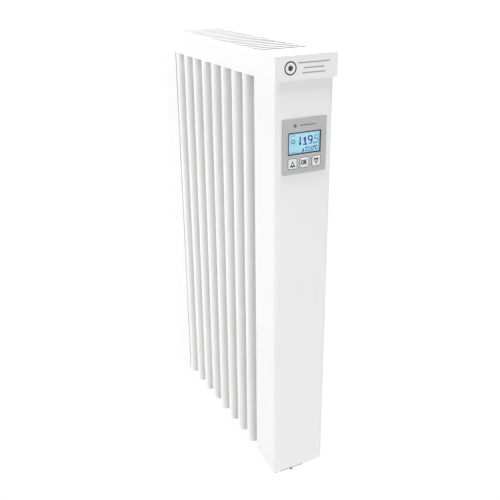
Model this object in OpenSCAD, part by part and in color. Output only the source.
// Slim wall-hung electric radiator: oil filled aluminium sections between two side covers,
// a slotted top cover, a push-button control panel and a pair of wall rails with lock cams.
// Millimetres. +Z is up, the front faces -Y and the control end is +X.
// The origin is on the wall plane, in the middle of the four wall bolts.

/* [Casing] */
// Length over the two side covers
body_len = 368; // [368:1:400]
// Depth over the side covers, front to back
body_depth = 81; // [81:1:90]
// Height from the foot of the side covers to the top of the top cover
body_h = 600; // [560:5:700]
// Overhang of the top cover all round
cap_overhang = 2.6; // [1.8:0.1:4]
// Height of the top cover's skirt
cap_h = 29.4; // [24:0.2:32]
// Sheet thickness of the top cover
cap_sheet = 1; // [0.8:0.1:1.4]
// Sheet thickness of the side covers
cover_sheet = 1.5; // [1.2:0.1:1.5]
// Outside radius of the side covers' upright edges
cover_edge_r = 5; // [4:0.5:6]
// Width of the front lip at the control end
lip_control = 56.6; // [54:0.2:58]
// Width of the front lip at the far end
lip_far = 45.4; // [42:0.1:45.4]
// Gap between the wall and the casing
wall_gap = 22; // [22:1:40]

/* [Sections] */
// Number of oil filled sections
section_count = 8; // [8:1:8]
// Distance between neighbouring sections
section_pitch = 32.9; // [31:0.1:33]
// Radius of a section's half-round front rib
rib_r = 10; // [8:0.5:11]
// How far the rib's crest lies behind the lips
rib_recess = 0.7; // [0.7:0.1:1.2]
// Height of the foot of the ribs above the foot of the side covers
rib_foot = 1; // [0.5:0.5:6]

/* [Grille] */
// Number of slots in the top cover
slot_count = 17; // [10:1:17]
// Width of one slot
slot_w = 8; // [5:0.5:9]
// Distance between neighbouring slots
slot_pitch = 16.45; // [12:0.05:16.45]
// Length of one slot
slot_len = 68.8; // [50:0.2:70]

/* [Controls] */
// Width of the control panel's grey frame
bezel_w = 63; // [60:0.5:66]
// Height of the control panel's grey frame
bezel_h = 70.2; // [70:0.1:74]
// Width of the display window
window_w = 47.4; // [40:0.1:48]
// Height of the display window
window_h = 28.5; // [24:0.1:29]
// Width of a push button's hole
button_w = 12.4; // [9:0.2:12.8]
// Height of a push button's hole
button_h = 13.2; // [9:0.2:13.6]
// Distance between neighbouring buttons
button_pitch = 17.2; // [15:0.1:17.4]
// Travel of a push button
button_travel = 0.8; // [0.5:0.1:0.8]

/* [Wall rails] */
// Distance between the two rails' bolts
bolt_span_x = 180; // [120:5:180]
// Distance between a rail's upper and lower bolt
bolt_span_z = 400; // [300:10:400]
// Radius of a bolt hole
bolt_hole_r = 3.5; // [2.5:0.1:4.5]

/* [Hidden] */
$fn = 64;
eps = 0.5;

// Casing planes
x_end = body_len / 2;
y_back = -wall_gap;
y_front = y_back - body_depth;
z_foot = -body_h / 2;
z_top = body_h / 2;
z_cap = z_top - cap_h;
cover_top = z_top - cap_sheet;

// Section planes: depths are measured back from the front of the lips
valley_depth = 14;
plate_t = 2.5;
neck_w = 12;
tube_depth = 29.5;
tube_r = 12;
tube_bore = 9.5;
rear_plate_depth = 68;
rear_plate_t = 2;
web_t = 2.5;
rib_wall = 2;
section_gap = 0.4;
cross_fin_depth = 54;
section_foot = z_foot + rib_foot;
section_head = z_top - 8;
core_foot = -body_h / 2 + 42;
core_head = body_h / 2 - 42;
first_section_x = x_end - 88.1;
section_w = section_pitch - section_gap;
last_section_x = first_section_x - (section_count - 1) * section_pitch;

// Slots in the top cover
slot_end_r = 1.5;

// Headers
header_d = 25.6;
header_h = 28;
header_wall = 3;
header_x0 = last_section_x - 15.5;
header_x1 = first_section_x + 20.5;
header_y = y_front + tube_depth;
port_r = 10;
plug_flange_r = 12.5;
plug_flange_t = 4;

// Brackets between the headers and the rear panel
bracket_x = [-75, 65];
bracket_w = 20;
bracket_h = 22;
bracket_t = 2;

// Rear panel
panel_t = 1.5;
panel_y1 = y_back - 1.7;
panel_y0 = panel_y1 - panel_t;
panel_x = x_end - 14;
panel_z0 = z_foot + 15;
panel_z1 = z_top - 12;
back_lip = 30;
hook_window_w = 16;
hook_window_h = 30;
flap_t = 1.5;
vent_n = [-7, -3, -2, -1, 0, 1, 2, 3, 7];
vent_pitch = 18;
vent_w = 8;
vent_h = 34;
vent_z = 0.38 * body_h;

// Heat shield
shield_t = 1.5;
shield_x = first_section_x + 26;

// Control panel, in the upper part of the control end
panel_mid_y = (y_front + y_back) / 2 - 0.6;
panel_mid_z = z_top - 110;
bezel_t = 1.5;
bezel_boss = 1.5;
bezel_corner_r = 2.5;
housing_w = 56.4;
housing_h = 64.1;
housing_wall = 1.6;
housing_depth = 18;
window_z = panel_mid_z + 3.5;
button_z = panel_mid_z - 21.4;
button_gap = 0.3;
button_proud = 0.5;
button_corner_r = 2;
button_flange_w = 0.9;
button_back_x = x_end - bezel_boss - 1.2;
ribbon_z = panel_mid_z - 24;
board_x = x_end - 8.1;
board_t = 1.6;
lens_t = 1.2;
lens_recess = 0.7;

// Power board on the heat shield
power_x = shield_x + shield_t + 12;
power_z = -0.1 * body_h;
power_y = y_front + 19;
power_w = 50;
power_h = 180;
sink_w = 40;
sink_d = 18;
sink_h = 36;

// Heater rod, its leads and the terminal block
leg_gap = 11;
rod_r = 3.5;
rod_z = -(core_head + header_h / 2);
lead_r = 1.3;
lead_bend_r = 6;
lead_x0 = header_x1 + plug_flange_t + 13;
lead_x = power_x + board_t + 7;
block_z = power_z - 82;

// Cable gland
gland_x = x_end - 13.5;
gland_y = y_front + 29;
gland_r = 7;
cable_r = 3.6;
base_t = 3;

// Room air probe
sensor_x = x_end - cover_sheet - 20.2;
sensor_y = y_back - 20;

// Wall rails
rail_w = 40;
rail_t = 2;
rail_depth = wall_gap - 2;
rail_h = bolt_span_z + 60;
bumper_z = 0.36 * body_h;
hook_z = 0.3 * body_h;
hook_w = 12;
hook_arm_t = 3;
hook_lip_h = 9;
hook_lip_t = 2;
cam_pin_r = 2.5;
cam_hub_r = 6;
cam_lobe = 16;
cam_finger = 15;
cam_y0 = -19.4;
cam_y1 = -16.4;
cam_z = hook_z + flap_t + 1 + cam_lobe;

// Screws
screw_r = 1.5;
screw_hole_r = 1.6;
screw_head_r = 3.2;
screw_head_t = 1.8;
rear_screw_x = x_end - 22;
cap_screw_z = z_cap + 0.4 * cap_h;
cover_screw_z = [for (f = [-0.42, -0.14, 0.14, 0.4]) f * body_h];

SECTIONS = [for (i = [1 : section_count]) str("section_", i)];

// ---------- shapes that repeat ----------

// A rectangle with round corners, centred.
module rounded_rect(w, h, r) {
    square([w - 2 * r, h], center = true);
    square([w, h - 2 * r], center = true);
    for (sx = [-1, 1], sy = [-1, 1])
        translate([sx * (w / 2 - r), sy * (h / 2 - r)]) circle(r);
}

// A flat shape stood up facing +X: its own x runs along Y and its own y along Z.
module facing_x(x0, x1, y, z) {
    translate([x0, y, z]) rotate([90, 0, 90]) linear_extrude(x1 - x0) children();
}

// A cylinder along Y from y0 to y1.
module rod_y(x, z, r, y0, y1) {
    translate([x, y1, z]) rotate([90, 0, 0]) cylinder(r = r, h = y1 - y0);
}

// A cylinder along X from x0 to x1.
module rod_x(y, z, r, x0, x1) {
    translate([x0, y, z]) rotate([0, 90, 0]) cylinder(r = r, h = x1 - x0);
}

// A block between two corners.
module block(low, high) {
    translate(low) cube(high - low);
}

// ---------- oil filled core ----------

// A rib's outline down to the plate: half a circle and two short straight sides.
module rib_half(r) {
    mid = rib_recess + rib_r;
    intersection() {
        translate([0, mid]) circle(r);
        translate([-r, mid - r]) square([2 * r, r]);
    }
    translate([-r, mid - 0.01]) square([2 * r, valley_depth - mid + 0.01]);
}

// The half-round hollow rib and the plate behind it, in plan, its crest towards -Y.
module rib_plan() {
    difference() {
        union() {
            rib_half(rib_r);
            translate([-section_w / 2, valley_depth]) square([section_w, plate_t]);
        }
        rib_half(rib_r - rib_wall);
    }
}

// The oil tube, its web, cross fins and rear plate, in plan.
module tube_plan() {
    difference() {
        union() {
            translate([0, tube_depth]) circle(tube_r);
            translate([-neck_w / 2, valley_depth + plate_t])
                square([neck_w, tube_depth - valley_depth - plate_t]);
            translate([-web_t / 2, tube_depth]) square([web_t, rear_plate_depth - tube_depth + eps]);
            for (d = [cross_fin_depth - 8, cross_fin_depth, cross_fin_depth + 8])
                translate([-section_w / 2 + 3, d]) square([section_w - 6, 1.2]);
            translate([-section_w / 2, rear_plate_depth]) square([section_w, rear_plate_t]);
        }
        translate([0, tube_depth]) circle(tube_bore);
    }
}

// One extruded section. Its tube and rear stop short so that the headers fit behind the plate.
module section(i) {
    x = first_section_x - (section_count - i) * section_pitch;
    color("white") translate([x, y_front, 0]) {
        translate([0, 0, section_foot]) linear_extrude(section_head - section_foot) rib_plan();
        translate([0, 0, core_foot]) linear_extrude(core_head - core_foot) tube_plan();
    }
}

// A square manifold that joins the sections' tubes; side is 1 for the top one and -1 for the bottom.
module header(side) {
    z_mid = side * (core_head + header_h / 2);
    inner_d = header_d / 2 - header_wall;
    inner_h = header_h / 2 - header_wall;
    color("silver") difference() {
        block([header_x0, header_y - header_d / 2, z_mid - header_h / 2],
              [header_x1, header_y + header_d / 2, z_mid + header_h / 2]);
        block([header_x0 + header_wall, header_y - inner_d, z_mid - inner_h],
              [header_x1 - header_wall, header_y + inner_d, z_mid + inner_h]);
        for (i = [0 : section_count - 1])
            translate([first_section_x - i * section_pitch, header_y, side * core_head - 2 * header_wall])
                cylinder(r = tube_bore, h = 4 * header_wall);
        for (x = [header_x0, header_x1])
            rod_x(header_y, z_mid, port_r, x - 2 * header_wall, x + 2 * header_wall);
    }
}

// A plug in a header's end; dir is 1 at the control end and -1 at the far end.
module plug(side, dir) {
    z_mid = side * (core_head + header_h / 2);
    x_face = dir > 0 ? header_x1 : header_x0;
    translate([x_face, header_y, z_mid]) rotate([0, 90 * dir, 0]) {
        translate([0, 0, -header_wall - 2]) cylinder(r = port_r - 0.05, h = header_wall + 2);
        cylinder(r = plug_flange_r, h = plug_flange_t, $fn = 6);
    }
}

module header_plugs() {
    color("gainsboro") {
        plug(1, -1);
        plug(-1, -1);
    }
}

module fill_plug() {
    x1 = header_x1 + plug_flange_t;
    color("goldenrod") {
        plug(1, 1);
        rod_x(header_y, core_head + header_h / 2, 4, x1 - eps, x1 + 3);
    }
}

// The immersion heater's threaded plug, with a hole for each end of the rod.
module heater_plug() {
    color("goldenrod") difference() {
        plug(-1, 1);
        for (s = [-1, 1])
            rod_x(header_y + s * leg_gap / 2, rod_z, rod_r + 0.05, header_x1 - 10, header_x1 + 10);
    }
}

// The hairpin heating rod in the oil of the bottom header.
module heater_rod() {
    bend_x = header_x0 + 24;
    color("dimgray") {
        for (s = [-1, 1])
            rod_x(header_y + s * leg_gap / 2, rod_z, rod_r, bend_x, header_x1 + plug_flange_t + 4);
        translate([bend_x, header_y, rod_z]) rotate([0, 0, 90])
            rotate_extrude(angle = 180) translate([leg_gap / 2, 0]) circle(rod_r);
    }
}

// The two screw terminals on the rod's cold ends.
module heater_terminals() {
    x0 = header_x1 + plug_flange_t + 4;
    color("silver") for (s = [-1, 1]) {
        rod_x(header_y + s * leg_gap / 2, rod_z, 2, x0, lead_x0);
        rod_x(header_y + s * leg_gap / 2, rod_z, 3.6, x0 + 3, x0 + 5.4);
    }
}

// The two insulated leads from the terminals, round a bend and up into the terminal block.
module heater_leads() {
    bend_x = lead_x - lead_bend_r;
    color("firebrick") for (s = [-1, 1]) translate([0, header_y + s * leg_gap / 2, 0]) {
        rod_x(0, rod_z, lead_r, lead_x0, bend_x);
        translate([bend_x, 0, rod_z + lead_bend_r]) rotate([90, 0, 0]) rotate([0, 0, -90])
            rotate_extrude(angle = 90) translate([lead_bend_r, 0]) circle(lead_r);
        translate([lead_x, 0, rod_z + lead_bend_r])
            cylinder(r = lead_r, h = block_z + 4 - rod_z - lead_bend_r);
    }
}

// Four folded brackets that carry the headers on the rear panel.
module core_brackets() {
    y0 = header_y + header_d / 2;
    t = bracket_t;
    color("silver") for (x = bracket_x, side = [-1, 1]) {
        z_mid = side * (core_head + header_h / 2);
        z0 = z_mid - bracket_h / 2;
        z1 = z_mid + bracket_h / 2;
        for (dx = [0, bracket_w - t]) block([x + dx, y0, z0], [x + dx + t, panel_y0, z1]);
        for (y = [y0, panel_y0 - t]) block([x, y, z0], [x + bracket_w, y + t, z1]);
    }
}

// The bimetal cutout clipped on the top header.
module thermal_cutout() {
    z0 = core_head + header_h;
    color("dimgray") translate([40, header_y, z0]) {
        block([-14, -6, 0], [14, 6, 1]);
        translate([0, 0, 1 - eps]) cylinder(r = 7.5, h = 5.5 + eps);
        for (s = [-1, 1]) block([s * 4 - 1.5, -0.4, 6], [s * 4 + 1.5, 0.4, 9.5]);
    }
}

// The folded screen between the hot core and the electronics; its flange closes the front gap.
module heat_shield() {
    y0 = y_front + valley_depth;
    flange_x0 = first_section_x + section_w / 2 + 0.5;
    color("white") difference() {
        union() {
            block([shield_x, y0, section_foot], [shield_x + shield_t, panel_y0, section_head]);
            block([flange_x0, y0, section_foot], [x_end - lip_control + 3.5, y0 + shield_t, section_head]);
        }
        for (side = [-1, 1])
            rod_x(header_y, side * (core_head + header_h / 2), 13, shield_x - 5, shield_x + 5);
        for (f = [0.2 : 0.1 : 0.4], side = [-1, 1])
            facing_x(shield_x - 5, shield_x + 5, y_front + 58, side * f * body_h) rounded_rect(10, 30, 4.9);
    }
}

// ---------- casing ----------

// The screw places on the rear, for the top cover (upper) and the side covers (lower).
module cap_screw_holes(r, y0, y1) {
    for (s = [-1, 1]) rod_y(s * rear_screw_x, cap_screw_z, r, y0, y1);
}

module cover_screw_places(side) {
    for (z = cover_screw_z) translate([side * rear_screw_x, 0, z]) children();
}

module screw_hole(r, y0, y1) {
    translate([0, y1, 0]) rotate([90, 0, 0]) cylinder(r = r, h = y1 - y0);
}

// The sheet at the back of the core, with air slots and the four windows that hang on the hooks.
module rear_panel() {
    color("white") difference() {
        block([-panel_x, panel_y0, panel_z0], [panel_x, panel_y1, panel_z1]);
        for (sx = [-1, 1], sz = [-1, 1])
            translate([sx * bolt_span_x / 2, panel_y1 + eps, sz * hook_z - hook_window_h / 2])
                rotate([90, 0, 0]) linear_extrude(panel_t + 2 * eps)
                    rounded_rect(hook_window_w, hook_window_h, 2);
        for (n = vent_n, side = [-1, 1])
            translate([n * vent_pitch, panel_y1 + eps, side * vent_z]) rotate([90, 0, 0])
                linear_extrude(panel_t + 2 * eps) rounded_rect(vent_w, vent_h, vent_w / 2 - 0.1);
        for (side = [-1, 1]) cover_screw_places(side) screw_hole(screw_hole_r, panel_y0 - 1, panel_y1 + 1);
        cap_screw_holes(screw_hole_r, panel_y0 - 1, panel_y1 + 1);
    }
    // A flap folded back over each window rests on the hook's arm; the lock cams hold the upper two down.
    color("white") for (sx = [-1, 1], sz = [-1, 1])
        block([sx * bolt_span_x / 2 - 7, panel_y0, sz * hook_z],
              [sx * bolt_span_x / 2 + 7, cam_y1 + 1, sz * hook_z + flap_t]);
}

// Plan of a side cover filled in: its closed end at x = w with round edges, its open end at x = 0.
module end_outline(w, d, r) {
    square([w - r, d]);
    translate([0, r]) square([w, d - 2 * r]);
    for (y = [r, d - r]) translate([w - r, y]) circle(r);
}

// The U-shaped plan of a side cover, with a short back lip.
module cover_plan(lip) {
    t = cover_sheet;
    difference() {
        end_outline(lip, body_depth, cover_edge_r);
        translate([-eps, t]) end_outline(lip - t + eps, body_depth - 2 * t, cover_edge_r - t);
        translate([-eps, body_depth - 2 * t]) square([lip - back_lip + eps, 3 * t]);
    }
}

module side_cover(lip) {
    difference() {
        translate([0, y_front, z_foot]) linear_extrude(cover_top - z_foot) cover_plan(lip);
        translate([lip - x_end, 0, 0]) {
            cover_screw_places(1) screw_hole(screw_hole_r, y_back - 3, y_back + 1);
            rod_y(rear_screw_x, cap_screw_z, screw_hole_r, y_back - 3, y_back + 1);
        }
    }
}

// The cover at the control end, with a window for the control housing and a return behind its lip.
module control_cover() {
    color("white") translate([x_end - lip_control, 0, 0]) {
        difference() {
            side_cover(lip_control);
            facing_x(lip_control - 10, lip_control + 1, panel_mid_y, panel_mid_z)
                rounded_rect(housing_w + 0.4, housing_h + 0.4, 2);
        }
        block([0, y_front + cover_sheet - 0.2, z_foot + rib_foot],
              [1.2, y_front + valley_depth - 0.3, cover_top - 5]);
    }
}

module far_cover() {
    color("white") mirror([1, 0, 0]) translate([x_end - lip_far, 0, 0]) side_cover(lip_far);
}

// The slotted cover, folded down all round over the heads of the other panels.
module top_cover() {
    x1 = x_end + cap_overhang;
    y0 = y_front - cap_overhang;
    y1 = y_back + cap_overhang;
    grille_x = (first_section_x + last_section_x) / 2 + 9.4;
    grille_y = y_front + 43.4;
    color("white") difference() {
        block([-x1, y0, z_cap], [x1, y1, z_top]);
        block([-x1 + cap_sheet, y0 + cap_sheet, z_cap - 1],
              [x1 - cap_sheet, y1 - cap_sheet, z_top - cap_sheet]);
        for (i = [0 : slot_count - 1])
            translate([grille_x + (i - (slot_count - 1) / 2) * slot_pitch, grille_y, z_top - 3])
                linear_extrude(6) rounded_rect(slot_w, slot_len, slot_end_r);
        cap_screw_holes(2.1, y1 - 2 * cap_sheet, y1 + 1);
    }
}

// The closing plate under the control end, with a low pad and a small front foot below the cover.
module control_base() {
    x0 = x_end - lip_control + 4;
    x1 = x_end - cover_sheet - 0.2;
    pad_y0 = y_front + 10;
    pad_y1 = y_front + 49;
    pad_z = z_foot - 1.6;
    foot_x = x1 - 14;
    foot_y = y_front + 2;
    foot_d = 5;
    color("dimgray") difference() {
        union() {
            block([x0, y_front + cover_sheet + 0.2, z_foot + 1], [x1 - 4, y_back - 4, z_foot + base_t]);
            block([x1 - 4 - eps, y_front + 6, z_foot + 1], [x1, y_back - 6, z_foot + base_t]);
            block([x1 - 40, pad_y0, pad_z], [x1 - 1, pad_y1, z_foot + 1 + eps]);
            block([x1 - 40, pad_y0, pad_z], [x_end - 0.4, pad_y1, z_foot - 0.1]);
            block([x_end - 2.8, gland_y - 1.5, pad_z - 3], [x_end - 0.4, gland_y + 1.5, pad_z + eps]);
            block([foot_x, foot_y, pad_z], [x_end - 4.4, foot_y + foot_d, z_foot + 1 + eps]);
            block([foot_x, foot_y, pad_z], [x_end - 1.2, foot_y + foot_d, z_foot - 0.1]);
        }
        translate([gland_x, gland_y, z_foot - 5]) cylinder(r = gland_r - 0.9, h = 20);
        translate([sensor_x, sensor_y, z_foot - 5]) cylinder(r = 3.1, h = 20);
    }
}

module far_base() {
    x0 = -x_end + cover_sheet + 0.2;
    x1 = last_section_x - section_w / 2 - 1.5;
    color("white") {
        block([x0 + 4, y_front + cover_sheet + 0.2, z_foot + 1], [x1, y_back - 4, z_foot + base_t]);
        block([x0, y_front + 6, z_foot + 1], [x0 + 4 + eps, y_back - 6, z_foot + base_t]);
    }
}

// ---------- controls ----------

// The plastic box behind the panel, with posts for the board.
module control_housing() {
    x0 = x_end - housing_depth;
    inner_w = housing_w - 2 * housing_wall;
    inner_h = housing_h - 2 * housing_wall;
    color("darkgray") {
        difference() {
            facing_x(x0, x_end, panel_mid_y, panel_mid_z) rounded_rect(housing_w, housing_h, 2);
            facing_x(x0 + housing_wall, x_end + 1, panel_mid_y, panel_mid_z)
                rounded_rect(inner_w, inner_h, 1);
            facing_x(x0 - 1, x0 + 5, panel_mid_y, ribbon_z) rounded_rect(16, 6, 1);
        }
        for (sy = [-1, 1], sz = [-1, 1])
            rod_x(panel_mid_y + sy * (inner_w / 2 - 4), panel_mid_z + sz * (inner_h / 2 - 4), 2.5,
                  x0 + housing_wall - eps, board_x);
    }
}

// Where the three buttons are: -1 is up, 0 is OK and 1 is down.
module at_button(i) {
    translate([0, panel_mid_y + i * button_pitch, button_z]) children();
}

module control_bezel() {
    inner_w = housing_w - 2 * housing_wall - 0.4;
    inner_h = housing_h - 2 * housing_wall - 0.4;
    x0 = x_end - bezel_boss;
    x1 = x_end + bezel_t;
    color("darkgray") difference() {
        union() {
            facing_x(x_end, x1, panel_mid_y, panel_mid_z) rounded_rect(bezel_w, bezel_h, bezel_corner_r);
            facing_x(x0, x_end + eps, panel_mid_y, panel_mid_z) rounded_rect(inner_w, inner_h, 0.8);
        }
        facing_x(x0 - 1, x1 + 1, panel_mid_y, window_z) rounded_rect(window_w, window_h, 0.6);
        for (i = [-1 : 1]) at_button(i)
            facing_x(x0 - 1, x1 + 1, 0, 0) rounded_rect(button_w, button_h, button_corner_r);
    }
}

module display_lens() {
    x1 = x_end + bezel_t - lens_recess;
    color("lightblue", 0.4) facing_x(x1 - lens_t, x1, panel_mid_y, window_z)
        rounded_rect(window_w - 0.2, window_h - 0.2, 0.5);
}

module display_module() {
    x1 = x_end + bezel_t - lens_recess - lens_t - 0.1;
    color("skyblue") facing_x(board_x + board_t, x1, panel_mid_y, window_z)
        rounded_rect(window_w - 1.2, window_h - 1.2, 0.5);
}

module control_board() {
    color("seagreen") facing_x(board_x, board_x + board_t, panel_mid_y, panel_mid_z)
        rounded_rect(housing_w - 2 * housing_wall - 0.6, housing_h - 2 * housing_wall - 0.6, 1);
}

// The three tactile switches on the board, behind the buttons.
module key_switches() {
    x0 = board_x + board_t;
    color("dimgray") for (i = [-1 : 1]) at_button(i) {
        facing_x(x0, x0 + 2, 0, 0) square(6, center = true);
        rod_x(0, 0, 1.7, x0 + 2 - eps, button_back_x - button_travel - 0.2);
    }
}

// A push button: a cap through the panel and a wider flange behind it.
module button(i) {
    w = button_w - 2 * button_gap;
    h = button_h - 2 * button_gap;
    color("whitesmoke") at_button(i) {
        facing_x(button_back_x + eps, x_end + bezel_t + button_proud, 0, 0)
            rounded_rect(w, h, button_corner_r - button_gap);
        facing_x(button_back_x, button_back_x + 0.9, 0, 0)
            rounded_rect(w + 2 * button_flange_w, h + 2 * button_flange_w, button_corner_r);
    }
}

// ---------- electronics ----------

module power_board() {
    color("seagreen") block([power_x, power_y, power_z - power_h / 2],
                            [power_x + board_t, power_y + power_w, power_z + power_h / 2]);
}

module board_standoffs() {
    color("silver") for (dy = [5, power_w - 5], sz = [-1, 1])
        rod_x(power_y + dy, power_z + sz * (power_h / 2 - 6), 2.5, shield_x + shield_t, power_x);
}

module power_relay() {
    x0 = power_x + board_t;
    color("steelblue") block([x0, power_y + 7, power_z - 8], [x0 + 15, power_y + 26, power_z + 20]);
}

module heat_sink() {
    x0 = power_x + board_t;
    y0 = power_y + 5;
    z0 = power_z + 40;
    fin_t = 2;
    fin_pitch = 7.6;
    color("silver") {
        block([x0, y0, z0], [x0 + 3, y0 + sink_w, z0 + sink_h]);
        for (y = [y0 : fin_pitch : y0 + sink_w - fin_t])
            block([x0 + 3 - eps, y, z0], [x0 + sink_d, y + fin_t, z0 + sink_h]);
    }
}

module terminal_block() {
    x0 = power_x + board_t;
    color("darkolivegreen") difference() {
        block([x0, header_y - leg_gap, block_z], [x0 + 14, header_y + 3 * leg_gap, block_z + 16]);
        for (i = [-0.5 : 2.5]) {
            rod_x(header_y + i * leg_gap, block_z + 11, 2.4, x0 + 6, x0 + 15);
            translate([lead_x, header_y + i * leg_gap, block_z - 1]) cylinder(r = lead_r + 0.4, h = 8);
        }
    }
}

// The flat cable from the power board up to the control board.
module ribbon_cable() {
    x0 = power_x + board_t;
    x1 = x_end - housing_depth - 1.5;
    z0 = power_z + power_h / 2 - 8;
    t = 1;
    color("gainsboro") translate([0, panel_mid_y + 6, 0]) rotate([90, 0, 0]) linear_extrude(12)
        polygon([[x0, z0], [x0 + 4, z0], [x0 + 4, z0 + 6],
                 [x1, ribbon_z - 14], [x1, ribbon_z - t / 2],
                 [board_x - 1.5, ribbon_z - t / 2], [board_x - 1.5, ribbon_z + t / 2],
                 [x1 - t, ribbon_z + t / 2], [x1 - t, ribbon_z - 14],
                 [x0 + 4 - t, z0 + 6], [x0 + 4 - t, z0 + t], [x0, z0 + t]]);
}

// The room air probe in the foot of the control end.
module room_sensor() {
    color("dimgray") translate([sensor_x, sensor_y, z_foot]) {
        translate([0, 0, -1]) cylinder(r = 3, h = 12);
        translate([0, 0, base_t]) cylinder(r = 4.5, h = 5);
    }
}

// The cable gland's two halves; the mains cable's bore goes through both.
module gland_body() {
    color("dimgray") translate([gland_x, gland_y, z_foot]) difference() {
        union() {
            translate([0, 0, -4]) cylinder(r = gland_r - 1, h = 20);
            translate([0, 0, base_t]) cylinder(r = gland_r + 2, h = 4, $fn = 6);
        }
        translate([0, 0, -10]) cylinder(r = cable_r, h = 40);
    }
}

module gland_nut() {
    color("black") translate([gland_x, gland_y, z_foot]) difference() {
        union() {
            translate([0, 0, -6.6]) cylinder(r = gland_r + 1.5, h = 5, $fn = 6);
            translate([0, 0, -9]) cylinder(r1 = 5.2, r2 = gland_r - 0.5, h = 2.5);
        }
        translate([0, 0, -20]) cylinder(r = cable_r, h = 40);
        translate([0, 0, -4]) cylinder(r = gland_r - 0.95, h = 10);
    }
}

// ---------- fasteners ----------

module back_screw(y_head, y_tip) {
    rod_y(0, 0, screw_head_r, y_head, y_head + screw_head_t);
    rod_y(0, 0, screw_r, y_tip, y_head + eps);
}

module cap_screws() {
    y1 = y_back + cap_overhang;
    color("silver") for (s = [-1, 1])
        translate([s * rear_screw_x, 0, cap_screw_z]) back_screw(y1, y_back - 5);
}

module cover_screws() {
    color("silver") for (side = [-1, 1]) cover_screw_places(side) back_screw(y_back, panel_y0 - 3);
}

// ---------- wall rails ----------

// One folded rail: web on the wall, two flanges, two hooks and the cam's pin with its head.
module wall_rail(s) {
    x = s * bolt_span_x / 2;
    web_y = -rail_t;
    color("silver") difference() {
        union() {
            block([x - rail_w / 2, web_y, -rail_h / 2], [x + rail_w / 2, 0, rail_h / 2]);
            for (dx = [-rail_w / 2, rail_w / 2 - rail_t])
                block([x + dx, -rail_depth, -rail_h / 2], [x + dx + rail_t, 0, rail_h / 2]);
            for (side = [-1, 1]) rail_hook(x, side * hook_z);
            rod_y(x, cam_z, cam_pin_r, cam_y0 - 1, web_y);
            rod_y(x, cam_z, 4.5, cam_y0 - 2.2, cam_y0 - 0.4);
        }
        for (side = [-1, 1]) rod_y(x, side * bolt_span_z / 2, bolt_hole_r, web_y - 5, 5);
    }
}

// A hook: an arm out through the panel's window and a lip up behind the sheet.
module rail_hook(x, z) {
    lip_y = panel_y0 - 0.6;
    block([x - hook_w / 2, lip_y - hook_lip_t, z - hook_arm_t], [x + hook_w / 2, -rail_t, z]);
    block([x - hook_w / 2, lip_y - hook_lip_t, z - hook_arm_t], [x + hook_w / 2, lip_y, z + hook_lip_h]);
}

// A cam that turns on the rail's pin: its lobe hangs over the panel's flap, a finger turns it aside.
module lock_cam(s) {
    x = s * bolt_span_x / 2;
    color("goldenrod") difference() {
        union() {
            rod_y(x, cam_z, cam_hub_r, cam_y0, cam_y1);
            block([x - 4, cam_y0, cam_z - cam_lobe], [x + 4, cam_y1, cam_z]);
            block([x - 2, cam_y0, cam_z], [x + 2, cam_y1, cam_z + cam_finger]);
        }
        rod_y(x, cam_z, cam_pin_r + 0.05, cam_y0 - 1, cam_y1 + 1);
    }
}

// Rubber pads between the rails' outer flanges and the rear panel.
module wall_bumpers() {
    color("black") for (mx = [0, 1], side = [-1, 1]) mirror([mx, 0, 0])
        block([bolt_span_x / 2 + rail_w / 2 - 6, panel_y1, side * bumper_z - 10],
              [bolt_span_x / 2 + rail_w / 2, -rail_depth, side * bumper_z + 10]);
}

for (i = [1 : section_count]) section(i);
header(1);  // top_header
header(-1);  // bottom_header
header_plugs();
fill_plug();
heater_plug();
heater_rod();
heater_terminals();
heater_leads();
core_brackets();
thermal_cutout();
heat_shield();
rear_panel();
control_cover();
far_cover();
top_cover();
control_base();
far_base();
control_housing();
control_bezel();
display_lens();
display_module();
control_board();
key_switches();
button(-1);  // button_up
button(0);  // button_ok
button(1);  // button_down
power_board();
board_standoffs();
power_relay();
heat_sink();
terminal_block();
ribbon_cable();
room_sensor();
gland_body();
gland_nut();
cap_screws();
cover_screws();
wall_rail(-1);  // wall_rail_left
wall_rail(1);  // wall_rail_right
lock_cam(-1);  // lock_cam_left
lock_cam(1);  // lock_cam_right
wall_bumpers();
